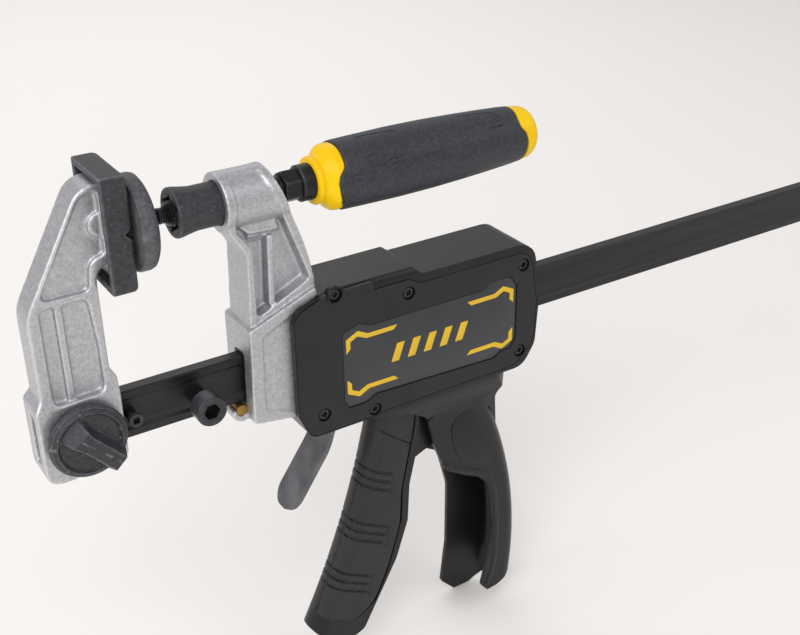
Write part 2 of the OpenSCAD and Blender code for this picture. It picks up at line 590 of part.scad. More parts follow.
module housing() color("#2a2b2e") on_jaw() difference() {
    union() {
        // body of the housing, its long edges rounded by a crossed outline
        intersection() {
            side(-half_w, half_w) house_outline();
            along(house_x0 - 1, house_x1 + 1) polygon(rounded([
                [-half_w, house_bot - 1, 0], [-half_w, house_top - 6, 0], [-half_w + 1.4, hump_top + 1, 6],
                [half_w - 1.4, hump_top + 1, 6], [half_w, house_top - 6, 0], [half_w, house_bot - 1, 0]]));
        }
        rear_handle();
    }
    // room for the works, closed on the far side
    difference() {
        union() {
            side(-half_w + cover_t + cover_gap + lip_t, half_w - house_wall) house_outline(house_wall);
            cover_body(lip_w, -half_w, -half_w + cover_t + cover_gap + lip_t + e);
        }
        for (q = screws) rod_y(q[0], q[1], boss_r, -half_w + cover_t + cover_gap, half_w);
        rod_y(pivot_x, pivot_z, pivot_d / 2 + 3, trigger_w / 2 + 1, half_w);
        rod_y(lever_pin_x, lever_pin_z, lever_pin_r + 2.4, lever_w / 2 + 1, half_w);
        // ribs that the two springs bear on
        translate([spring_x1 + 0.2, -6, bar_h + 1]) cube([3, half_w + 6, 40]);
        translate([lever_stop_x, -6, house_bot]) cube([2.6, half_w + 6, 19]);
    }
    // recess for the side cover
    cover_body(0, -half_w - 1, -half_w + cover_t + cover_gap);
    bar_slot(house_x1 - 12, house_x1 + 5, 0.3);
    // open front that the jaw's block and tongue fill
    side(-block_w / 2 - seat_fit, block_w / 2 + seat_fit) block_outline(-seat_fit);
    side(-tongue_w / 2 - seat_fit, tongue_w / 2 + seat_fit) tongue_outline(-seat_fit);
    rod_y(jaw_screw[0], jaw_screw[1], boss_r + seat_fit, -half_w + cover_t, -tongue_w / 2);
    // slot for the lever and opening for the trigger
    translate([50, -lever_w / 2 - 1, house_bot - 1]) cube([20, lever_w + 2, 8]);
    side(-trigger_room, trigger_room) polygon([[85, -18], [85, -60], [170, -60], [158, -18]]);
    rod_y(pivot_x, pivot_z, pivot_d / 2, -half_w + cover_t, half_w - 4);
    rod_y(lever_pin_x, lever_pin_z, lever_pin_r, -half_w + cover_t, half_w - 4);
    for (q = screws) rod_y(q[0], q[1], screw_d / 2, -half_w, half_w - 6);
    // screwed-on panel field on the far side
    side(half_w - 0.8, half_w + 1) label_outline();
}
boss_r = 4.4;
lip_t = 1.2;                               // lip that the side cover seats on, and its width
lip_w = 1.6;
trigger_room = trigger_w / 2 + 0.8;         // half the width of the channel it swings in
module label_outline() polygon(rounded([
    [59, -11, 2], [59, 33, 2], [70, 37, 1], [77, 33.5, 1], [157, 33.5, 1], [163, 37.5, 1], [176, 37.5, 2],
    [181.5, 30, 2], [181.5, -7, 2], [177, -12.5, 2], [171, -12.5, 1], [165, -16, 1], [80, -13, 1],
    [74, -16.5, 1], [62, -16.5, 2]]));

// Rear handle: a channel swept on a wide arc, open to the front and cut away on the near side
spine_r = 270;                             // radius of the spine's sweep
spine_x = 192.6;                           // rearmost point of the spine
spine_z = -163;                            // height of that point
spine_t = 5;
handle_bot = -217;                       // bottom of the far wall
near_bot = -203.4;                         // bottom of the near side
bottom_tilt = atan((near_bot - handle_bot) / handle_w);
module handle_sweep(r0, w, corner) translate([spine_x - spine_r, 0, spine_z]) rotate([90, 0, 0])
    rotate([0, 0, -14]) rotate_extrude(angle = 44, $fn = 180) polygon(rounded([
        [spine_r - 70, -w], [r0, -w, corner], [r0, w, corner], [spine_r - 70, w]]));
module handle_outline() polygon(rounded([
    [60, -24], [84, -30.4, 3], [104, -35.6, 10], [119, -45.5, 10], [124.6, -68.5, 20], [131.5, -86.5, 8],
    [144.6, -94, 10], [152.6, -124, 30], [152, -172, 30], [148, handle_bot + 12, 3], [159.5, handle_bot, 3],
    [spine_x - 4, handle_bot, 30],
    [spine_x + 5, -150, 20], [181.5, -89, 30], [171, -47, 8], [181, -29, 4], [181, -20], [70, -20]]));
module rear_handle() difference() {
    w = handle_w / 2;
    intersection() {
        side(-half_w, half_w) handle_outline();
        union() {
            handle_sweep(spine_r, w, 9);
            intersection() {
                along(60, 190) polygon([[-half_w, -20], [-half_w, -30], [-w, -46], [-5, -80], [5, -80],
                    [w, -46], [half_w, -30], [half_w, -20]]);
                translate([0, 0, -90]) linear_extrude(80) polygon(rounded([[50, -half_w],
                    [181, -half_w, 16], [181, half_w, 16], [50, half_w]]));
            }
        }
        // bottom, sloped from the near side to the far one and rounded at the back
        translate([0, 0, (near_bot + handle_bot) / 2]) rotate([-bottom_tilt, 0, 0]) side(-120, 120)
            polygon(rounded([[60, 0], [60, 260], [220, 260], [197, 34], [190, 0, 24]]));
    }
    // channel that the trigger folds into
    difference() {
        handle_sweep(spine_r - spine_t, trigger_room, 6);
        translate([60, -30, -44]) cube([140, 60, 40]);
    }
    side(-trigger_room, trigger_room) polygon([[70, -18], [70, -60], [150, -100], [176, -100], [168, -60],
        [165, -18]]);
    // near wall cut down to the palm
    side(-30, -w + 4.5) polygon(rounded([[120, -80], [129, -84.6], [136.6, -94, 8], [158, -104.6, 5], [168, -114, 10],
        [172.4, -160, 70], [163.4, -197.6, 3], [171, near_bot - 3], [171, near_bot - 9], [120, near_bot - 9]]));
}

module side_cover() color("#2a2b2e") on_jaw() difference() {
    cover_body(cover_gap, -half_w, -half_w + cover_t);
    side(-half_w - 1, -half_w + 0.8) label_outline();
    for (q = screws) {
        rod_y(q[0], q[1], screw_head_d / 2 + 0.4, -half_w - 1, -half_w + 2.2);
        rod_y(q[0], q[1], screw_d / 2 + 0.2, -half_w - 1, 0);
    }
}
module cover_screws() color("#1c1d1f") on_jaw() for (q = screws) {
    rod_y(q[0], q[1], screw_head_d / 2, -half_w + 0.5, -half_w + 2.2);
    rod_y(q[0], q[1], screw_d / 2, -half_w + 2, half_w - 7);
}

// ---------------------------------------------------------------- trigger and its drive

trigger_r = 583;                           // radius of the trigger's sweep
trigger_lean = 17;                         // slope of the sweep at its middle
trigger_mid = [73.52567272644967, -86.45270385335553];  // middle of the trigger's front, from the nose
trigger_cx = trigger_mid[0] - trigger_r * cos(trigger_lean);  // centre of the sweep
trigger_cz = trigger_mid[1] + trigger_r * sin(trigger_lean);
module trigger_sweep(grow = 0) {
    w = trigger_w / 2 + grow;
    translate([trigger_cx, 0, trigger_cz]) rotate([90, 0, 0]) rotate([0, 0, -30])
        rotate_extrude(angle = 26, $fn = 360) polygon(concat(
            [for (a = [90:15:270]) [trigger_r + w * 0.9 + (w * 0.9) * cos(a), w * sin(a)]],
            [[trigger_r + 70, -w], [trigger_r + 70, w]]));
}
module trigger_outline() polygon(rounded([
    [74, -20, 0], [76, -60, 20], [46, -140, 30], [33, -178, 6], [43, -188, 8], [64, -196.5, 6], [72, -193, 6],
    [97.5, -146.5, 30], [106.4, -120, 10], [108, -93, 12], [115, -64, 8], [116, -35, 4], [104, -27, 0]]));
module trigger_front_outline() polygon(rounded([
    [60, -34, 0], [113.6, -37, 4], [112.8, -50.5, 14], [103.2, -93, 30], [101.8, -118, 12], [91.6, -152, 60],
    [81.2, -174, 8], [67, -183, 6], [56.5, -179.6, 30], [20, -151, 0], [20, -34, 0]]));
module trigger_solid() intersection() {
    side(-trigger_w, trigger_w) trigger_outline();
    trigger_sweep();
}
module trigger_grip() color("#2d2e31") on_jaw() difference() {
    intersection() {
        trigger_solid();
        side(-trigger_w, trigger_w) trigger_front_outline();
    }
    side(-5, 5) trigger_tongue();
    // three groups of three grooves that fall from the front and end in a step on each side
    for (g = [[94.6, -86.7, 1.3], [89.9, -125, 1.5], [76.8, -158.7, 1.7]]) for (k = [-1:1])
        difference() {
            translate([g[0] - g[2] * k, 0, g[1] - groove_pitch * k]) rotate([0, 28, 0])
                translate([-40, -30, -0.9]) cube([40, 60, 1.8]);
            trigger_sweep(-1.3);
        }
}
groove_pitch = 5.7;
module trigger_tongue(t = 0) polygon(rounded(pulled_in([
    [95, -36, 1], [88, -66, 4], [66, -130, 6], [56, -160, 3], [66, -168, 3], [80, -150, 3], [98, -118, 4],
    [112, -60, 4], [112, -36, 1]], -t)));
module trigger_core() color("#36373a") on_jaw() difference() {
    union() {
        difference() {
            trigger_solid();
            side(-trigger_w, trigger_w) trigger_front_outline();
        }
        side(-4.9, 4.9) trigger_tongue(0.1);
        // web behind the trigger that closes the mouth of the rear handle
        side(-7, 7) polygon(rounded([[115.5, -37], [123, -41], [130.5, -57, 6], [129, -71.5, 4], [110.3, -79.5]]));
        // two cheeks that straddle the bar up to the pivot, with the nose that pushes the plates
        for (m = [-1, 1]) side(min(m * cheek_y0, m * cheek_y1), max(m * cheek_y0, m * cheek_y1)) {
            polygon(rounded([[77, pivot_z + 2, 6], [pivot_x, pivot_z + cheek_r], [plates_x - seat_fit, pivot_z],
                [plates_x - seat_fit, pivot_z - nose_drop, 3], [pivot_x - 7.2, -7.6, 2], [86.3, -10.5, 3],
                [100, -14, 4], [112, -35], [91, -35], [86, -27, 3], [86, -17.5, 2], [77, -17, 4], [73.5, -12, 5],
                [73, 0, 10]]));
            translate([pivot_x, pivot_z]) circle(r = cheek_r);
        }
    }
    rod_y(pivot_x, pivot_z, pivot_d / 2 + turn_fit, -20, 20);
}
cheek_y0 = bar_t / 2 + 1.2;                // inside and outside of the cheeks
cheek_y1 = trigger_w / 2 - 1;
cheek_r = pivot_d / 2 + 2.5;
nose_drop = 30;                            // nose below the pivot
module trigger_pivot() color("#8f9296") on_jaw()
    rod_y(pivot_x, pivot_z, pivot_d / 2, -half_w + cover_t + 0.4, half_w - 4.2);

// Two hardened plates with windows for the bar
module drive_plates() color("#6f7276") on_jaw() for (k = [0:1]) difference() {
    x = plates_x + k * (plate_t + plate_gap);
    translate([x, -trigger_w / 2, -6]) cube([plate_t, trigger_w, bar_h + 14.6]);
    translate([x - 1, -bar_t / 2 - 0.3, -0.4]) cube([plate_t + 2, bar_t + 0.6, bar_h + 0.8]);
}
spring_x0 = plates_x + 2 * plate_t + plate_gap + 0.2;
spring_x1 = spring_x0 + 34;
module drive_spring() color("#b4b6b8") on_jaw() translate([0, 0, bar_h + 4.6])
    coil(spring_x0, spring_x1, 2.9, 0.6, 12);

// Release lever: a steel strip that tilts on the bar and curves forward below the housing
lever_pin_x = 53.1;
lever_pin_z = bar_h + 12.5;
lever_pin_r = 2;
lever_stop_x = 70;                         // rib that the lever's spring bears on
module release_lever() color("#4a4b4d") on_jaw() {
    w = lever_w / 2;
    t = plate_t / 2;
    difference() {
        union() {
            plate([[lever_pin_x - t, lever_pin_z, 0], [lever_pin_x + t, lever_pin_z, 0], [lever_x + t + 1.5, -26, 20],
                [lever_x + t - 5, -46, 42], [26.6, -84.2, 1], [23.6, -82.6, 1], [lever_x - t - 5, -45, 40],
                [lever_x - t + 1.5, -26, 20]], -w, w);
            rod_y(lever_pin_x, lever_pin_z, lever_pin_r + 2, -w, w);
        }
        translate([lever_x - 10, -bar_t / 2 - 0.4, -1.6]) cube([20, bar_t + 0.8, bar_h + 2.8]);
        // round end
        translate([23.6, 0, -82.6]) rotate([0, 35, 0]) difference() {
            translate([-20, -20, -4]) cube([40, 40, w + 4]);
            translate([-21, 0, w]) rotate([0, 90, 0]) cylinder(h = 42, r = w + e);
        }
        rod_y(lever_pin_x, lever_pin_z, lever_pin_r + turn_fit, -20, 20);
    }
}
module lever_pivot() color("#8f9296") on_jaw()
    rod_y(lever_pin_x, lever_pin_z, lever_pin_r, -half_w + cover_t + 0.4, half_w - 4.2);
module lever_spring() color("#b4b6b8") on_jaw() translate([0, 0, -14])
    coil(lever_x + 2.4, lever_stop_x - seat_fit, 3.6, 0.6, 4);

bar();
bar_stop_bolt();
jaw_locating_pin();
bar_end_pin();
fixed_jaw();
fixed_pad();
release_knob();
lock_shaft();
lock_shaft_clip();
moving_jaw();
thread_bush();
nose_sleeve();
guide_pin();
jaw_wear_pads();
spindle();
ball_cup();
swivel_pad();
handle_core();
handle_grip();
handle_end_cap();
housing();
side_cover();
cover_screws();
trigger_core();
trigger_grip();
trigger_pivot();
drive_plates();
drive_spring();
release_lever();
lever_pivot();
lever_spring();
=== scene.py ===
import math

import bpy
import numpy as np
from mathutils import Matrix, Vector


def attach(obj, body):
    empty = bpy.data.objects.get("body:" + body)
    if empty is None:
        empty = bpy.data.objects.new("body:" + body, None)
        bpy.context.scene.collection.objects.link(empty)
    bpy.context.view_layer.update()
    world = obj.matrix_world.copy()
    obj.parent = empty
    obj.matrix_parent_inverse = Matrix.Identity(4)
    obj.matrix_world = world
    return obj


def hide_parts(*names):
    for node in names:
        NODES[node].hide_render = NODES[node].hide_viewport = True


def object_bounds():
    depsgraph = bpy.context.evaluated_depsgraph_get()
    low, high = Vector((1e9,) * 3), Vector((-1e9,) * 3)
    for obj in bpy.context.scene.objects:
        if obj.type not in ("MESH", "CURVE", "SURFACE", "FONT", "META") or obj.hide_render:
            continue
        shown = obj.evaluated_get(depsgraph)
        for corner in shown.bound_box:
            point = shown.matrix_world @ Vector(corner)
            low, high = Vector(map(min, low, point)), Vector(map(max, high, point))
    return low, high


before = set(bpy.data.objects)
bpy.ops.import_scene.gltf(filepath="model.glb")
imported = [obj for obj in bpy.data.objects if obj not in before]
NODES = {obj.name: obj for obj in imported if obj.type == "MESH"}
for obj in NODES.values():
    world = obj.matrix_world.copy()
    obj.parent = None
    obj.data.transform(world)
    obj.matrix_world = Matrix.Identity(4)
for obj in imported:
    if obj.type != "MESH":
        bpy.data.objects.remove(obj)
cad_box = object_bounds()
MM = 0.001

# ------------------------------------------------------------------ sizes in millimetres
# X runs along the spindle and the bar, Z is up, and the spindle's axis is Y = Z = 0. Points of
# the housing are (u, z) from its own origin, the moving jaw's nose at the bar's underside.

JAW_X, AXIS_H = 52.0, 118.6                       # x of that origin, and how far it lies below the axis
COVER_Y = -20.0                                   # outer face of the side cover
SCREWS = ((56, 58.1), (103.8, 46), (186, 42), (185, -16.5), (79.5, -23), (46, -15.5))

PITCH, THREAD_R, THREAD_DEPTH = 3.0, 7.0, 0.75    # trapezoid thread of the spindle
THREAD_X = 25.9                                   # where the thread begins
BALL_X, BALL_R, NECK_R = 13.0, 5.0, 4.2           # ball that sits in the swivel pad, and the neck
COLLAR_X, HEX_FLAT, COLLAR_R = 88.5, 7.9, 10.0    # hex and round collar behind the jaw

HANDLE_R = 19.0                                   # radius on which the handle is unrolled
CORE_R, BORE_R = 12.0, 12.05                      # yellow core, and the grip's bore over it
ROUND = 240                                       # points round the handle and the knob

# ------------------------------------------------------------------ materials
# The grain of the real finishes is some 0.05 to 0.3 mm. It is drawn at 0.4 to 0.9 mm, as coarse
# as it needs to be to show.

GRAIN_SHARE = 0.35                      # how far the grain shows in the colour, beside the clouds
TONE_FROM, TONE_TO = 0.45, 0.9          # noise at which the colour is darkest and palest
SHEEN_FROM, SHEEN_TO = 0.4, 0.95        # noise at which the surface is smoothest and roughest
FLECK_CELL = 1.4                        # spacing of the flecks, in grains
FLECK_RARE, FLECK_SURE = 0.62, 0.92     # share of the cells with no fleck, and with a fleck in full
FLECK_EDGE, FLECK_CORE = 0.32, 0.16     # radius at which a fleck ends and is full, in cells
EDGE_FROM, EDGE_TO = 0.507, 0.55        # pointiness where the paler edge colour begins and is full: wear on the pads, a painted highlight on metal
PIT_CELL, PIT_BUMP = 6, 0.6             # size of the casting marks, in grains, and their strength


def linear(text):
    """An sRGB hex colour as linear red, green, blue and alpha."""
    c = np.array([int(text[i:i + 2], 16) for i in (1, 3, 5)]) / 255
    c = np.where(c <= 0.04045, c / 12.92, ((c + 0.055) / 1.055) ** 2.4)
    return (*c.tolist(), 1.0)


def add(tree, kind, inputs=None, **settings):
    """Adds a node. An input is a number, a colour, or the socket of another node."""
    node = tree.nodes.new(kind)
    for key, value in settings.items():
        setattr(node, key, value)
    for key, value in (inputs or {}).items():
        if isinstance(value, bpy.types.NodeSocket):
            tree.links.new(value, node.inputs[key])
        else:
            node.inputs[key].default_value = value
    return node


def finish_of(name, dark, light, grain, tone, rough, bump, bump_mm, metallic=0.0,
              specular=0.5, streak=(1, 1, 1), wear_and_edge_highlight=None, speck=None, pits=0.0):
    """A surface with a cloudy colour between two hex values, a grain in its height, and a
    roughness that varies between the two values of rough. grain and tone are the sizes of the
    grain and of the clouds in millimetres. bump is the strength of the grain and bump_mm its
    height in millimetres. streak has a factor for X, Y and Z, and one below 1 draws the pattern
    out that way. The edge colour paints proud edges paler: wear on the rubbed pads, a painted
    highlight on metal and black parts. speck is the colour of sparse fine flecks, and pits the
    depth in millimetres of shallow casting marks."""
    m = bpy.data.materials.new(name)
    m.use_nodes = True
    t = m.node_tree
    shader = t.nodes["Principled BSDF"]
    place = add(t, "ShaderNodeTexCoord").outputs["Object"]
    place = add(t, "ShaderNodeMapping", {"Vector": place, "Scale": streak}).outputs["Vector"]
    clouds = add(t, "ShaderNodeTexNoise", {"Vector": place, "Scale": 1000 / tone, "Detail": 4.0,
                                           "Roughness": 0.6}).outputs["Fac"]
    fine = add(t, "ShaderNodeTexNoise", {"Vector": place, "Scale": 1000 / grain, "Detail": 3.0,
                                         "Roughness": 0.65}).outputs["Fac"]
    both = add(t, "ShaderNodeMath", {0: fine, 1: GRAIN_SHARE, 2: clouds},
               operation="MULTIPLY_ADD").outputs[0]

    ramp = add(t, "ShaderNodeValToRGB", {"Fac": both})
    low, high = ramp.color_ramp.elements
    low.position, high.position = TONE_FROM, TONE_TO
    low.color, high.color = linear(dark), linear(light)
    colour = ramp.outputs["Color"]
    if speck:
        dots = add(t, "ShaderNodeTexVoronoi", {"Vector": place, "Scale": 1000 / (FLECK_CELL * grain)})
        some = add(t, "ShaderNodeSeparateColor", {"Color": dots.outputs["Color"]}).outputs["Red"]
        some = add(t, "ShaderNodeMapRange", {"Value": some, "From Min": FLECK_RARE,
                                             "From Max": FLECK_SURE}).outputs[0]
        near = add(t, "ShaderNodeMapRange", {"Value": dots.outputs["Distance"],
                                             "From Min": FLECK_EDGE,
                                             "From Max": FLECK_CORE}).outputs[0]
        some = add(t, "ShaderNodeMath", {0: some, 1: near}, operation="MULTIPLY").outputs[0]
        colour = add(t, "ShaderNodeMix", {"Factor": some, "A": colour, "B": linear(speck)},
                     data_type="RGBA").outputs["Result"]
    if wear_and_edge_highlight:
        # proud edges painted paler: wear on the pads, a painted highlight on metal and black edges
        edge = add(t, "ShaderNodeNewGeometry").outputs["Pointiness"]
        edge = add(t, "ShaderNodeMapRange", {"Value": edge, "From Min": EDGE_FROM,
                                             "From Max": EDGE_TO}).outputs[0]
        edge = add(t, "ShaderNodeMath", {0: edge, 1: clouds}, operation="MULTIPLY").outputs[0]
        colour = add(t, "ShaderNodeMix", {"Factor": edge, "A": colour, "B": linear(wear_and_edge_highlight)},
                     data_type="RGBA").outputs["Result"]
    t.links.new(colour, shader.inputs["Base Color"])

    spread = add(t, "ShaderNodeMapRange", {"Value": both, "From Min": SHEEN_FROM,
                                           "From Max": SHEEN_TO, "To Min": rough[0],
                                           "To Max": rough[1]}).outputs[0]
    t.links.new(spread, shader.inputs["Roughness"])
    shader.inputs["Metallic"].default_value = metallic
    shader.inputs["Specular IOR Level"].default_value = specular

    height = add(t, "ShaderNodeBump", {"Height": fine, "Strength": bump, "Distance": bump_mm * MM})
    if pits:
        marks = add(t, "ShaderNodeTexNoise", {"Vector": place, "Scale": 1000 / (PIT_CELL * grain),
                                              "Detail": 2.0, "Roughness": 0.5}).outputs["Fac"]
        height = add(t, "ShaderNodeBump", {"Height": marks, "Strength": PIT_BUMP,
                                           "Distance": pits * MM,
                                           "Normal": height.outputs["Normal"]})
    t.links.new(height.outputs["Normal"], shader.inputs["Normal"])
    return m


# die cast aluminium, tumbled: pale even grey, its soft sparkle painted in as pale flecks (painted
# glints), its edges painted brighter as a painted highlight
cast = finish_of("cast_aluminium_tumbled", "#a6a7aa", "#c8c9cd", 0.7, 1.8, (0.4, 0.54), 0.75, 0.11,
                 metallic=0.88, speck="#dcdde1", wear_and_edge_highlight="#e6e7ea", pits=0.12)
# drawn steel bar, blackened: near black, long faint streaks, satin
black_bar = finish_of("drawn_steel_blackened", "#1e1e21", "#323236", 0.6, 9, (0.3, 0.46), 0.25, 0.03,
                      metallic=0.5, streak=(0.06, 1, 1))
# black oxide on turned steel: blue black with a satin gleam, its proud edges painted paler as a painted
# highlight
black_oxide = finish_of("steel_black_oxide", "#17181a", "#242528", 0.5, 6, (0.3, 0.44), 0.15, 0.02,
                        metallic=0.4, specular=0.4, wear_and_edge_highlight="#56585c")
# zinc plated steel: pale cool metal of the hidden pins and shafts
zinc = finish_of("steel_zinc_plated", "#9a9ca0", "#b5b7bb", 0.5, 6, (0.28, 0.4), 0.1, 0.02,
                 metallic=1.0)
# stamped spring steel, tempered: warm dark grey with a dull gleam, its edges painted paler
dark_steel = finish_of("spring_steel_tempered", "#3f3f43", "#535358", 0.5, 14, (0.38, 0.52),
                       0.25, 0.03, metallic=0.7, wear_and_edge_highlight="#8a8a8e")
# cast brass pin: dull gold
brass = finish_of("brass_cast", "#8f6a35", "#c09a5c", 0.5, 4, (0.35, 0.5), 0.2, 0.03, metallic=1.0)
# glass filled nylon, spark textured: satin near black with a fine pale haze
nylon = finish_of("glass_filled_nylon_moulded", "#0d0e11", "#17181d", 0.5, 24, (0.3, 0.42),
                  0.3, 0.05, specular=0.36)
# the same nylon on the raised side cover: a shade paler and duller from its finer texture
cover_nylon = finish_of("glass_filled_nylon_fine_texture", "#111216", "#1c1e23", 0.5, 24,
                        (0.34, 0.48), 0.3, 0.05, specular=0.36)
# glass filled nylon of the jaw pads and knob: matt charcoal, pebbled, chalky where it is rubbed
pad_nylon = finish_of("pad_nylon_moulded", "#1a1b1e", "#393a40", 0.9, 2.6, (0.42, 0.6), 0.95, 0.22,
                      speck="#606166", wear_and_edge_highlight="#85868b", pits=0.16)
# soft thermoplastic rubber, moulded: matt blue grey with fine pale flecks
rubber = finish_of("soft_rubber_overmould", "#181a1f", "#353840", 0.8, 2.2, (0.44, 0.6), 0.95, 0.2,
                   speck="#5c5e64")
# the same rubber on the trigger: darker and smoother
dark_rubber = finish_of("soft_rubber_smooth", "#16171a", "#232428", 0.5, 16, (0.42, 0.56), 0.4, 0.06,
                        specular=0.45)
# yellow ABS, moulded smooth: saturated with a soft gloss
yellow = finish_of("yellow_abs_moulded", "#eebc00", "#f9d000", 0.6, 20, (0.3, 0.4), 0.12, 0.02,
                   specular=0.22)
# screen printed lacquer on the label: the same yellow, flatter
print_yellow = finish_of("yellow_screen_print", "#d9ae14", "#e4bc20", 0.5, 9, (0.42, 0.52), 0.1, 0.01)
# polycarbonate label film, printed satin on its back: even warm grey
film = finish_of("satin_label_film", "#2a2c30", "#33353a", 0.4, 30, (0.36, 0.44), 0.12, 0.01)

FINISH = {
    "bar": black_bar, "bar_stop_bolt": black_oxide, "jaw_locating_pin": black_oxide,
    "bar_end_pin": black_oxide, "fixed_jaw": cast, "fixed_pad": pad_nylon,
    "lock_shaft": zinc, "lock_shaft_clip": zinc, "moving_jaw": cast, "thread_bush": zinc,
    "nose_sleeve": pad_nylon, "guide_pin": brass, "jaw_wear_pads": zinc, "ball_cup": zinc,
    "swivel_pad": pad_nylon, "housing": nylon, "side_cover": cover_nylon, "trigger_core": nylon,
    "trigger_pivot": zinc, "drive_plates": dark_steel, "drive_spring": zinc,
    "release_lever": dark_steel, "lever_pivot": zinc, "lever_spring": zinc,
}

# ------------------------------------------------------------------ solids kept from the frame

EDGE = 0.4                              # usual round on a machined or moulded edge
BEVEL = {"drive_spring": 0, "lever_spring": 0, "side_cover": 0.7, "housing": 0.6, "swivel_pad": 0.6}
LATTICE = {"fixed_jaw": 0.8, "moving_jaw": 0.8, "fixed_pad": 0.6, "nose_sleeve": 0.4}
FLAT_ANGLE, EDGE_ANGLE = 0.6, 28        # degrees: faces that merge into one, edges that are rounded


def dress(name, material, bevel, lattice):
    """Gives a solid of the frame its finish and a small round of bevel millimetres on its
    edges. With lattice, the solid is skinned anew on a lattice of that many millimetres and
    smoothed, as soft as the edges of a casting."""
    o = NODES[name]
    o.data.materials.clear()
    o.data.materials.append(material)
    for p in o.data.polygons:
        p.use_smooth = True
    o.modifiers.new("weld", "WELD").merge_threshold = 0.01 * MM
    if lattice:
        anew = o.modifiers.new("skin", "REMESH")
        anew.mode, anew.voxel_size, anew.use_smooth_shade = "VOXEL", lattice * MM, True
        soft = o.modifiers.new("soft", "SMOOTH")
        soft.factor, soft.iterations = 0.5, 5
        return
    flat = o.modifiers.new("flat", "DECIMATE")
    flat.decimate_type, flat.angle_limit = "DISSOLVE", math.radians(FLAT_ANGLE)
    if bevel:
        b = o.modifiers.new("edge", "BEVEL")
        b.width, b.segments = bevel * MM, 2
        b.limit_method, b.angle_limit = "ANGLE", math.radians(EDGE_ANGLE)
        b.use_clamp_overlap, b.harden_normals = True, False
    o.modifiers.new("shade", "WEIGHTED_NORMAL").keep_sharp = True


for name, material in FINISH.items():
    dress(name, material, BEVEL.get(name, EDGE), LATTICE.get(name, 0))

# ------------------------------------------------------------------ tools for computed surfaces


def skin(name, rings, material, body, nodes=(), loop=False, sharp=40):
    """A closed skin through rings of points, an array of (rings, points round, 3) in
    millimetres. Each ring closes on itself. The first and last ring are closed by a flat face,
    or joined to each other with loop. The faces are turned outward by the sign of the volume.
    Edges over sharp degrees stay crisp, and the skin stands for the nodes that are named."""
    n, m = rings.shape[:2]
    a = np.arange(n if loop else n - 1)[:, None] * m
    b = (a + m) % (n * m)
    j, k = np.arange(m)[None, :], (np.arange(m)[None, :] + 1) % m
    quads = np.stack(np.broadcast_arrays(a + j, b + j, b + k, a + k), -1).reshape(-1, 4)
    points = rings.reshape(-1, 3)
    p = (points - points.mean(0))[quads]
    volume = ((np.cross(p[:, 0], p[:, 1]) * p[:, 2]).sum()
              + (np.cross(p[:, 0], p[:, 2]) * p[:, 3]).sum())
    faces = quads.tolist()
    if not loop:
        faces += [np.arange(m).tolist(), (n * m - 1 - np.arange(m)).tolist()]
    if volume < 0:
        faces = [f[::-1] for f in faces]
    mesh = bpy.data.meshes.new(name)
    mesh.from_pydata((points * MM).tolist(), [], faces)
    mesh.polygons.foreach_set("use_smooth", np.ones(len(faces), bool))
    mesh.set_sharp_from_angle(angle=math.radians(sharp))
    o = bpy.data.objects.new(name, mesh)
    bpy.context.scene.collection.objects.link(o)
    mesh.materials.append(material)
    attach(o, body)
    if nodes:
        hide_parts(*nodes)
    return o


def angles(m):
    """m angles round the X axis in degrees: 90 is up, 180 is the near side, 270 is down."""
    return np.linspace(0, 360, m, endpoint=False)


def turned(x, r, a):
    """Points at x, radius r and angle a in degrees round the X axis."""
    x, r, a = np.broadcast_arrays(x, r, np.radians(a))
    return np.stack([x, r * np.cos(a), r * np.sin(a)], -1)


def from_jaw(u, y, z):
    """Points (u, z) of the housing, with their y, as points of the frame."""
    u, y, z = np.broadcast_arrays(u, y, z)
    return np.stack([u + JAW_X, y, z - AXIS_H], -1)


def row(value):
    """A value, or one for each angle, as one row of points round the handle."""
    return np.full((1, ROUND), value)


def smooth(v, edge, width):
    """0 below edge and 1 above edge + width, with a soft rise between."""
    t = np.clip((v - edge) / width, 0, 1)
    return t * t * (3 - 2 * t)


def away(px, py, line):
    """Distance from each point to a broken line."""
    best = np.full(np.broadcast(px, py).shape, 1e9)
    for (ax, ay), (bx, by) in zip(line[:-1], line[1:]):
        dx, dy = bx - ax, by - ay
        t = np.clip(((px - ax) * dx + (py - ay) * dy) / (dx * dx + dy * dy), 0, 1)
        best = np.minimum(best, np.hypot(px - ax - t * dx, py - ay - t * dy))
    return best


def bead(px, py, line, wide):
    """1 on a broken line, falling softly to 0 at half of wide to each side."""
    return 1 - smooth(away(px, py, line), 0.15 * wide, 0.35 * wide)


def steps(places, gap):
    """Places from the first to the last, about gap apart, that include every place given."""
    return np.unique(np.concatenate([np.linspace(p, q, max(2, int(math.ceil((q - p) / gap)) + 1))
                                     for p, q in zip(places[:-1], places[1:])]))


def lengths(line):
    """Length along a broken line at each of its points, from 0."""
    return np.concatenate([[0], np.cumsum(np.hypot(*np.diff(line, axis=0).T))])


def eased(line, n, rounds):
    """n points evenly along a broken line, smoothed: each but the first and last becomes the
    mean of itself and its two neighbours, as many times as rounds says."""
    run = lengths(line)
    s = np.linspace(0, 1, n) * run[-1]
    p = np.column_stack([np.interp(s, run, line[:, k]) for k in (0, 1)])
    for _ in range(rounds):
        p[1:-1] = (p[:-2] + p[1:-1] + p[2:]) / 3
    return p


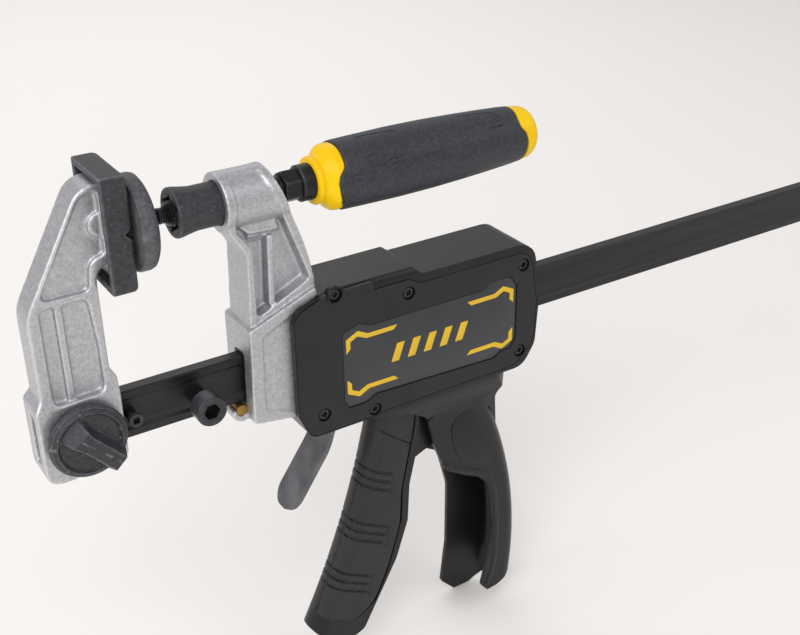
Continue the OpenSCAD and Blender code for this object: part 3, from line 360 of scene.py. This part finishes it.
def softened(outline, r, n=5):
    """A polygon whose corners are rounded by short curves that start r from the corner."""
    p = np.array(outline, float)
    a, b = np.roll(p, 1, 0) - p, np.roll(p, -1, 0) - p
    la, lb = np.linalg.norm(a, axis=1)[:, None], np.linalg.norm(b, axis=1)[:, None]
    a, b = p + a / la * np.minimum(r, la / 2.2), p + b / lb * np.minimum(r, lb / 2.2)
    t = np.linspace(0, 1, n)[None, :, None]
    curve = (1 - t) ** 2 * a[:, None] + 2 * t * (1 - t) * p[:, None] + t ** 2 * b[:, None]
    return curve.reshape(-1, 2)


def shrunk(outline, t):
    """A polygon drawn in towards its middle, so that its box loses t on every side."""
    p = np.array(outline, float)
    mid = (p.min(0) + p.max(0)) / 2
    half = (p.max(0) - p.min(0)) / 2
    return mid + (p - mid) * (1 - t / half)


def prism(name, outline, y0, y1, material, body, round_by):
    """A flat piece parallel to the XZ plane, from y0 to its outer face y1, with an outline of
    (u, z) points of the housing. The edge of the outer face is rounded by drawing the outline
    in along the mean of each corner's two inward normals."""
    p = np.array(outline, float)
    d1, d0 = np.roll(p, -1, 0) - p, p - np.roll(p, 1, 0)
    d1, d0 = d1 / np.linalg.norm(d1, axis=1)[:, None], d0 / np.linalg.norm(d0, axis=1)[:, None]
    turn = np.sign((p[:, 0] * np.roll(p[:, 1], -1) - p[:, 1] * np.roll(p[:, 0], -1)).sum())
    n1, n0 = np.column_stack([-d1[:, 1], d1[:, 0]]), np.column_stack([-d0[:, 1], d0[:, 0]])
    inward = (n1 + n0) * turn
    inward = inward / np.maximum((inward ** 2).sum(1), 0.3)[:, None] * 2
    way = np.sign(y1 - y0)
    rings = []
    for inset, y in ((0, y0), (0, y1 - way * round_by),
                     (0.3 * round_by, y1 - way * 0.3 * round_by), (round_by, y1)):
        q = p + inset * inward
        rings.append(from_jaw(q[:, 0], y, q[:, 1]))
    return skin(name, np.array(rings), material, body, sharp=30)


# ------------------------------------------------------------------ spindle


def spindle():
    """The radius follows a profile of knots along X: a ball, a neck with a groove and three
    rising rings, the thread, a hex, a round collar and a tang. On the thread the radius falls by
    a trapezoid wave of x / pitch less the angle in turns, which makes a right hand helix. On the
    hex the radius is the lesser of the profile and flat / cos(angle from the middle of the
    nearest flat)."""
    t = np.radians(np.linspace(175, 36, 22))
    ball = np.column_stack([BALL_X + BALL_R * np.cos(t), BALL_R * np.sin(t)])
    c, groove, root = COLLAR_X, NECK_R - 0.5, THREAD_R - 0.6
    neck = [[18.4, 2.9], [19.2, NECK_R - 0.3], [19.6, NECK_R], [21.0, NECK_R], [21.3, groove],
            [21.8, groove], [22.1, NECK_R], [22.7, NECK_R], [23.3, 4.9], [23.6, 4.6], [24.3, 5.6],
            [24.6, 5.2], [25.3, 6.3], [THREAD_X - 0.3, 5.9]]
    thread = [[THREAD_X + 0.9, THREAD_R], [c - 1.6, THREAD_R], [c - 1.4, root]]
    hexagon = [[c - 0.05, root], [c, 8.0], [c + 0.7, 9.0], [c + 9.2, 9.0], [c + 9.7, 8.4]]
    collar = [[c + 9.8, 9.2], [c + 10.6, COLLAR_R], [c + 19.2, COLLAR_R], [c + 20, COLLAR_R - 0.8]]
    tang = [[c + 20.1, 5.5], [c + 88, 5.5], [c + 89, 4.5]]
    knots = np.array(neck + thread + hexagon + collar + tang)
    first, last = len(neck) - 1, len(neck) + len(thread) - 1      # knots at the thread's ends
    x = np.concatenate([steps(knots[:first + 1, 0], 0.3), steps(knots[first:last + 1, 0], 0.2)[1:],
                        steps(knots[last:, 0], 0.6)[1:]])
    r = np.interp(x, knots[:, 0], knots[:, 1])
    x = np.concatenate([ball[:-1, 0], x])[:, None]
    r = np.concatenate([ball[:-1, 1], r])[:, None]

    a = angles(96)[None, :]
    turn = np.abs((x / PITCH - a / 360) % 1 - 0.5) * 2
    cut = smooth(turn, 0.3, 0.34) * THREAD_DEPTH
    cut = cut * smooth(x, THREAD_X, 2) * (1 - smooth(x, c - 9, 5))
    hexed = HEX_FLAT / np.cos(np.radians((a + 30) % 60 - 30))
    r = np.where((x > c - 0.02) & (x < c + 9.75), np.minimum(r, hexed), r - cut)
    skin("spindle_turned", turned(x, r, a), black_oxide, "spindle_body",
         ("spindle",), sharp=35)


# ------------------------------------------------------------------ release knob


def knob():
    """A turned body: a profile of (radius, height) over the jaw's face, with a sloping rim and
    a sunk face. The height is raised to a grip fin, which is a soft step across the fin times
    a soft step along it, and a shallow scoop runs along each side of the fin."""
    r, rim, fin_top = 20.8, 8.2, 14.5             # radius, heights of the rim and of the fin
    sunk, lean = 1.5, math.radians(-43)           # depth of the face in the rim, lean of the fin
    cx, cz, face_y = -36.0, 14.25 - AXIS_H, -11.7
    profile = np.array([
        [0.05, 0], [r - 1.9, 0], [r - 1.4, 0.5], [r - 0.1, rim - 4.0], [r, rim - 3.4],
        [r - 0.3, rim - 2.7], [r - 3.0, rim - 0.3], [r - 3.6, rim], [r - 4.0, rim - 0.2],
        [r - 4.6, rim - 0.9], [r - 5.2, rim - 1.4], [r - 5.8, rim - sunk], [0.05, rim - sunk]])
    run = lengths(profile)
    rim_from, face_from = run[4], run[8]
    s = np.unique(np.concatenate([np.linspace(0, run[-1], 190), run]))[:, None]
    rho, h = np.interp(s, run, profile[:, 0]), np.interp(s, run, profile[:, 1])
    phi = np.radians(angles(ROUND))[None, :]
    x, z = rho * np.cos(phi), rho * np.sin(phi)

    a = x * math.sin(lean) + z * math.cos(lean)               # along the fin
    b = np.abs(x * math.cos(lean) - z * math.sin(lean))       # across it, from its middle
    end = smooth(a, -19.9, 1.6) * (1 - smooth(a, 8.5, 7.0))
    half = 4.5 + 1.6 * smooth(a, 2, 12)
    fin = (1 - smooth(b, half - 0.6, 3.6)) * end * (fin_top - rim + sunk - 0.5 * smooth(a, -19, 20))
    scoop = 0.5 * np.exp(-((b - 8.2) / 2.2) ** 2) * smooth(14.5 - rho, 0, 3)
    upper = h > rim - 2
    h = np.where((s > face_from) & upper, h - scoop, h)
    h = np.where((s > rim_from) & upper, np.maximum(h, (rim - sunk) + fin), h)
    skin("release_knob_moulded", np.stack([x + cx, face_y - h, z + cz], -1), pad_nylon,
         "knob_body", ("release_knob",), sharp=60)

    ring = 18.2                                   # radius of the three marks on the rim
    arrow = ((-1.0, -1.3), (-1.0, 1.3), (0.9, 0))
    for i, angle in enumerate((100, 222, 351)):
        c = math.radians(angle)
        out, along = np.array([math.cos(c), math.sin(c)]), np.array([-math.sin(c), math.cos(c)])
        mark = np.array([out * (ring + p) + along * q for p, q in arrow]) + (cx - JAW_X, cz + AXIS_H)
        prism(f"knob_mark_{i}", softened(mark, 0.3), face_y - rim + 1.6, face_y - rim + 0.3,
              pad_nylon, "knob_body", 0.12)


# ------------------------------------------------------------------ handle


def seam(a, knots):
    """x of a seam at angle a, smoothly through (angle, x) knots, closing on itself: the mean of
    eleven readings within five degrees to each side."""
    k = np.array(sorted(knots))
    ang = np.concatenate([k[:, 0] - 360, k[:, 0], k[:, 0] + 360])
    x = np.interp(a[None, :] + np.linspace(-5, 5, 11)[:, None], ang, np.tile(k[:, 1], 3))
    return x.mean(0)


def rolled(*points):
    """(x, angle) points on the unrolled handle."""
    return [(x, HANDLE_R * math.radians(a)) for x, a in points]


def handle():
    """Every surface is a radius over x and angle. x runs between two wavy seams, given as x at
    a few angles, so the edges follow the seams. Beads along broken lines, measured on the
    unrolled surface, raise the ribs of the grip and sink its strokes."""
    a = angles(ROUND)
    flange_end = seam(a, [
        (0, 120.0), (45, 119.6), (98, 120.8), (115, 120.7), (134, 120.2), (148, 119.8),
        (154, 118.2), (159, 116.0), (175, 114.8), (196, 115.8), (207, 117.1), (218, 117.6),
        (226, 119.4), (270, 120.2), (320, 118.0)])
    cap_start = seam(a, [
        (0, 241.5), (60, 240.2), (103, 239.2), (130, 237.5), (148, 237.6), (162, 240.6),
        (182, 241.9), (208, 242.0), (235, 241.9), (270, 240.0), (315, 238.2)])
    flange_x, core_end, handle_end = 106, 241.0, 252.6

    # front flange, turned down behind the seam to the core that runs through the grip
    profile = np.array([[106, 12.2], [106.5, 13.0], [107.2, 13.3], [108.4, 13.2], [109.6, 12.9],
                        [110.6, 13.2], [112, 14.5], [114, 16.9], [115.5, 18.0], [117, 18.3],
                        [120, 18.3], [124, 17.8]])
    x = flange_x + np.linspace(0, 1, 60)[:, None] * (flange_end - flange_x)
    r = np.interp(x, profile[:, 0], profile[:, 1]) - 0.5 * smooth(x, flange_end - 0.7, 0.7)
    x = np.vstack([x, row(flange_end), row(flange_end), row(core_end), row(core_end)])
    r = np.vstack([r, row(16.5), row(CORE_R), row(CORE_R), row(CORE_R - 4)])
    skin("handle_flange", turned(x, r, a), yellow, "spindle_body",
         ("handle_core",))

    # soft grip: out along its surface and back along its bore
    x = flange_end + 0.25 + np.linspace(0, 1, 215)[:, None] * (cap_start - flange_end - 0.5)
    r = np.interp(x, [112, 118, 124, 135.5, 157.5, 179.5, 199.5, 218.5, 233, 243],
                  [18.3, 18.8, 19.15, 19.4, 19.7, 19.45, 18.75, 17.85, 16.95, 16.0])
    edge = np.minimum(x - flange_end, cap_start - x)
    r = r - 0.9 * (1 - smooth(edge, 0.25, 0.9))
    s = HANDLE_R * np.radians(a)[None, :]
    for line, high, wide in (
            (rolled((131.5, 139), (139.9, 135), (144.9, 151), (157.3, 149)), 0.9, 1.7),
            (rolled((131.7, 143), (136.5, 156), (143.5, 158)), 0.7, 1.5),
            (rolled((138.7, 162), (161.2, 160), (191.2, 159), (227.4, 159)), 0.7, 1.3),
            (rolled((133.9, 95), (142.2, 96), (156.1, 99), (157.7, 105)), -0.8, 1.3),
            (rolled((200.4, 97), (212.5, 99), (222.7, 103), (224.7, 116)), -0.8, 1.3),
            (rolled((215.5, 138), (224.4, 137)), -0.7, 1.3)):
        r = r + high * bead(x, s, line, wide)
    x = np.vstack([x, row(cap_start - 0.3), row(flange_end + 0.3)])
    r = np.vstack([r, row(BORE_R), row(BORE_R)])
    skin("handle_grip_soft", turned(x, r, a), rubber, "spindle_body",
         ("handle_grip",), loop=True, sharp=50)

    # end cap, rounded over and closed
    t = np.linspace(0, 1, 46)[:, None]
    x = cap_start + np.sin(t * math.pi / 2) * (handle_end - cap_start)
    r = np.interp(x, [236, 240, 243, 246.1, 248.1, 249.8, 251.1, 252.0, 252.5, handle_end],
                  [16.5, 16.15, 15.8, 15.4, 14.7, 13.4, 11.7, 9.4, 7.2, 4])
    r = r - 0.8 * (1 - smooth(x, cap_start, 0.8))
    x, r = np.vstack([row(cap_start), x]), np.vstack([row(9.0), r])
    skin("handle_cap_moulded", turned(x, r, a), yellow, "spindle_body",
         ("handle_end_cap",), sharp=50)


# ------------------------------------------------------------------ trigger grip


def trigger():
    """Rules run from the front arc to the rear seam. The half width across each rule is
    wide * sqrt(1 - ((deep - depth) / deep)^2) for a radial depth below deep, and wide beyond.
    Grooves push the surface in along its normal. A belly fills the foot, where the rules would
    cut the corner."""
    wide, deep = 11.0, 9.9                        # half width, depth of the rounded front
    centre, radius = np.array([-484.0, 84.0]), 583.0
    top, foot = math.radians(-11.65), math.radians(-25.9)
    n = 380
    s = np.linspace(0, 1, n)
    phi = top + s * (foot - top)
    front = centre + radius * np.column_stack([np.cos(phi), np.sin(phi)])
    rear = eased(np.array([
        [113.6, -37.2], [113.0, -47], [111.4, -56], [104.6, -86], [102.6, -96], [101.7, -112],
        [101.0, -121], [96.5, -136], [91.6, -151], [84.5, -167], [81.6, -172], [78.6, -176],
        [67.5, -182.6]]), n, 12)

    across = np.linspace(-1, 1, 111)              # from the far rear edge round the front
    q, side = np.abs(across) ** 2, np.sign(across.round(9))
    p = front[:, None, :] + q[None, :, None] * (rear - front)[:, None, :]
    belly = (4 * q * (1 - q))[None, :] * (s ** 6)[:, None] * 2.6
    p = p + belly[..., None] * np.array([-0.4, -0.92])
    out = p - centre
    dist = np.linalg.norm(out, axis=-1)
    lack = np.clip((deep - np.clip(dist - radius, 0, None)) / deep, 0, 1)
    y = side * wide * np.sqrt(np.clip(1 - lack ** 2, 0, 1))
    nr, ny = -lack / deep, y / wide ** 2 + 1e-9 * side          # normal, outward and sideways
    size = np.hypot(nr, ny)
    nr, ny = nr / size, ny / size

    # three sets of three finger grooves, each set with a low step at its rear
    u, z = p[..., 0], p[..., 1]
    cut = np.zeros_like(u)
    tilt, spacing = math.radians(28), 5.7
    for gu, gz, lean in ((94.6, -86.7, 1.3), (89.9, -125, 1.5), (76.8, -158.7, 1.7)):
        for k in (-1, 0, 1):
            du, dz = u - (gu - lean * k), z - (gz - spacing * k)
            over = du * math.sin(tilt) + dz * math.cos(tilt)
            along = -du * math.cos(tilt) + dz * math.sin(tilt)
            groove = (1 - smooth(np.abs(over), 0.55, 0.7)) * smooth(along, -0.25, 0.5)
            cut = np.maximum(cut, 1.3 * groove)
        step = [(gu + 1.6 * lean, gz + 7.2), (gu - 0.6 * lean, gz - 7.2)]
        cut = np.maximum(cut, 0.7 * bead(u, z, step, 2.6))

    # line down the front, seam against the core, and the upper edge of the side panel
    cut = np.maximum(cut, 0.8 * (1 - smooth(np.abs(y + 2.6), 0.3, 0.5)) * (lack > 0))
    to_seam = (1 - q)[None, :] * np.linalg.norm(rear - front, axis=1)[:, None]
    cut = cut + 0.9 * (1 - smooth(to_seam, 0.2, 0.9))
    edge = bead(u, z, [(80, -39), (92.5, -50.4), (106.4, -61), (114, -66)], 1.2)
    cut = np.maximum(cut, 0.8 * (edge * smooth(np.abs(y), 8.5, 1.5)))

    # quarter round at the top and the foot
    soft = 0.9
    arc = s * radius * (top - foot)
    lost = np.clip(soft - np.minimum(arc, arc[-1] - arc), 0, soft)
    cut = cut + (soft - np.sqrt(np.clip(soft ** 2 - lost ** 2, 0, None)))[:, None]
    unit = out / dist[..., None]
    points = from_jaw(u - cut * nr * unit[..., 0], y - cut * ny, z - cut * nr * unit[..., 1])
    skin("trigger_grip_soft", points, dark_rubber, "trigger_body",
         ("trigger_grip",), sharp=50)


# ------------------------------------------------------------------ label on the side cover

LABEL = [[59, -11], [59, 33], [70, 37], [77, 33.5], [157, 33.5], [163, 37.5], [176, 37.5],
         [181.5, 30], [181.5, -7], [177, -12.5], [171, -12.5], [165, -16], [80, -13],
         [74, -16.5], [62, -16.5]]               # the cover's recess
FLASH = [[-58.6, 8.5], [-58.6, 17.5], [-50.8, 21.4], [-44.2, 18.0], [-24.5, 18.0],
         [-27.3, 15.2], [-45.4, 15.2], [-51.2, 18.0], [-55.8, 15.6], [-55.8, 11.3]]
SLAT = [[0, 0], [4.2, 11.5], [9.4, 11.5], [5.2, 0]]


def label():
    """A plate in the cover's recess, and on it four corner flashes, mirrored from one, and five
    slanted bars: a plain design in the clamp's own colours."""
    floor_y, thick, ink = COVER_Y + 0.8, 0.35, 0.12
    prism("label_plate", softened(shrunk(LABEL, 0.7), 1.6), floor_y + 0.1, floor_y - thick, film,
          "jaw_body", 0.25)
    y, mid = floor_y - thick, np.array([120.3, 10.4])
    shapes = {f"label_flash_{i}": mid + np.array(FLASH) * mirror
              for i, mirror in enumerate(((1, 1), (-1, 1), (1, -1), (-1, -1)))}
    shapes |= {f"label_slat_{i}": np.array(SLAT) + mid + (-29 + 11.2 * i, -5.8) for i in range(5)}
    for name, outline in shapes.items():
        prism(name, softened(outline, 0.5), y + 0.05, y - ink, print_yellow, "jaw_body",
              0.06)


# ------------------------------------------------------------------ near wall of the rear handle


def wall():
    """A raised lip along the palm cut: a rounded section of (outward, y) points swept along a
    smoothed line of (u, z) points and thinned at both ends. Above it, a low raised panel, whose
    face sinks towards the handle's spine."""
    line = np.array([
        [131.2, -86.0], [133.8, -90.4], [137.6, -93.6], [143, -96.6], [152.2, -100.8],
        [160.0, -104.6], [164.6, -108.6], [167.3, -114.5], [169.6, -123], [171.0, -135.3],
        [171.9, -149.5], [172.0, -170.7], [171.0, -179.5], [168.9, -189.0], [166.2, -195.2],
        [164.6, -198.4]])
    section = np.array([[0.2, -11.5], [-0.1, -12.6], [0.0, -13.9], [0.5, -14.7], [1.4, -15.0],
                        [2.6, -15.0], [3.8, -14.9], [4.6, -14.7], [5.0, -14.3], [5.0, -13.4],
                        [2.6, -12.0]])
    n, root_y = 260, -12.6
    p = eased(line, n, 30)
    d = np.gradient(p, axis=0)
    d /= np.linalg.norm(d, axis=1)[:, None]
    out = np.column_stack([-d[:, 1], d[:, 0]])
    s = np.linspace(0, lengths(line)[-1], n)
    thin = np.clip(np.minimum(s, s[-1] - s) / 1.6, 0.05, 1)[:, None] ** 0.5
    w = section[None, :, 0] * (0.4 + 0.6 * thin)
    y = root_y + (section[None, :, 1] - root_y) * thin
    q = p[:, None, :] + w[..., None] * out[:, None, :]
    skin("palm_lip", from_jaw(q[..., 0], y, q[..., 1]), nylon, "jaw_body",
         sharp=60)

    panel = [[158.0, -50.6], [147.4, -50.6], [142.9, -53.2], [138.9, -56.4], [137.2, -60],
             [137.2, -64.4], [138.8, -72.5], [141.5, -81.4], [145.8, -87.6], [152.2, -91.8],
             [165.6, -97.4], [171.2, -101.2], [175.6, -106.3], [178.3, -113.2], [180.2, -121.6],
             [178.0, -104.0], [172.0, -80], [164.4, -60]]
    o = prism("wall_panel", softened(panel, 1.5), -13.9, -15.0, nylon, "jaw_body",
              0.3)
    v = np.empty(len(o.data.vertices) * 3)
    o.data.vertices.foreach_get("co", v)
    v = v.reshape(-1, 3)
    u, z = v[:, 0] / MM - JAW_X, v[:, 2] / MM + AXIS_H
    from_spine = np.hypot(u + 77.4, z + 163)      # radius about the centre of the spine's arc
    v[:, 1] += smooth(from_spine, 236, 26) * 0.6 * MM
    o.data.vertices.foreach_set("co", v.ravel())


# ------------------------------------------------------------------ screws of the side cover


def screws():
    """Turned screws along Y. A profile of (y, radius) points gives the shank and the head, and
    the wall of the recess has a radius of 1.75 + 0.35 * cos(6 * angle)."""
    m = 72
    a = angles(m)[None, :]
    lobes = 1.75 + 0.35 * np.cos(6 * np.radians(a))
    profile = [(3.0, 2.0), (-17.8, 2.0), (-17.8, 3.1), (-18.7, 3.2), (-19.05, 3.05),
               (-19.2, 2.8), (-19.2, 2.4)]
    depth = np.array([[y] for y, _ in profile] + [[-19.2], [-19.0], [-17.9], [-17.8]])
    radius = np.vstack([np.full((1, m), r) for _, r in profile]
                       + [lobes + 0.12, lobes, lobes, lobes * 0.5])
    p = turned(depth, radius, a)
    for i, (u, z) in enumerate(SCREWS):
        skin(f"cover_screw_{i}", from_jaw(p[..., 1] + u, p[..., 0], p[..., 2] + z), black_oxide,
             "jaw_body", ("cover_screws",), sharp=35)

    # raised rim of the tower that holds the first screw
    rim = np.array([[-19.0, 4.2], [-20.5, 4.25], [-20.8, 4.5], [-20.85, 4.9], [-20.7, 5.2],
                    [-20.3, 5.4], [-19.0, 5.4]])
    p = turned(rim[:, :1], rim[:, 1:], a)
    u, z = SCREWS[0]
    skin("screw_tower_rim", from_jaw(p[..., 1] + u, p[..., 0], p[..., 2] + z), nylon, "jaw_body",
         loop=True, sharp=50)


spindle()
knob()
handle()
trigger()
label()
wall()
screws()

# ------------------------------------------------------------------ camera, light and floor


def look(o, place, right, up, back):
    """Puts a camera or a lamp at a place, with its own X, Y and Z axes in these directions."""
    turn = np.column_stack([right, up, back])
    o.matrix_world = Matrix.Translation(place) @ Matrix(turn.tolist()).to_4x4()


def softbox(name, place, aim, size, power):
    """A square softbox at a place, turned to a point. size is in metres and power in watts."""
    lamp = bpy.data.lights.new(name, "AREA")
    lamp.shape, lamp.size, lamp.energy = "SQUARE", size, power
    o = bpy.data.objects.new(name, lamp)
    bpy.context.scene.collection.objects.link(o)
    back = np.array(place, float) - np.array(aim, float)
    back /= np.linalg.norm(back)
    side = np.cross((0, 0, 1), back)
    side /= np.linalg.norm(side)
    look(o, place, side, np.cross(back, side), back)


camera = bpy.data.cameras.new("camera")
camera.lens, camera.sensor_width, camera.sensor_fit = 54.36, 36, "HORIZONTAL"
camera.clip_start, camera.clip_end = 0.02, 20
cam = bpy.data.objects.new("camera", camera)
bpy.context.scene.collection.objects.link(cam)
look(cam, (-0.17435, -0.53879, 0.23378), (0.84425, -0.53570, -0.01442),
     (0.25924, 0.38471, 0.88588), (-0.46902, -0.75164, 0.46369))
bpy.context.scene.camera = cam

# white paper, matt, close below the lowest point of the clamp
paper = bpy.data.materials.new("white_paper_sweep")
paper.use_nodes = True
paper_shader = paper.node_tree.nodes["Principled BSDF"]
paper_shader.inputs["Base Color"].default_value = linear("#fbf8f5")
paper_shader.inputs["Roughness"].default_value = 0.9
half, floor_z = 6.0, cad_box[0][2] - 0.0004       # metres
floor = bpy.data.objects.new("floor", bpy.data.meshes.new("floor"))
corners = [(x * half, y * half, floor_z) for x, y in ((-1, -1), (1, -1), (1, 1), (-1, 1))]
floor.data.from_pydata(corners, [], [(0, 1, 2, 3)])
floor.data.materials.append(paper)
bpy.context.scene.collection.objects.link(floor)

world = bpy.data.worlds.new("studio")
world.use_nodes = True
sky = world.node_tree.nodes["Background"]
sky.inputs["Color"].default_value = linear("#fbfafa")
sky.inputs["Strength"].default_value = 0.6
bpy.context.scene.world = world

softbox("key", (-1.0, -1.1, 1.2), (0.1, 0, -0.1), 1.1, 17)
softbox("fill", (1.3, -1.0, 1.0), (0.1, 0, -0.1), 1.0, 4)
softbox("left", (-1.6, 0.0, 0.7), (0.0, 0, -0.05), 1.0, 8)
softbox("background", (0.5, 1.7, 1.1), (0.5, 1.9, -0.34), 1.6, 8)

bpy.context.scene.view_settings.view_transform = "Standard"
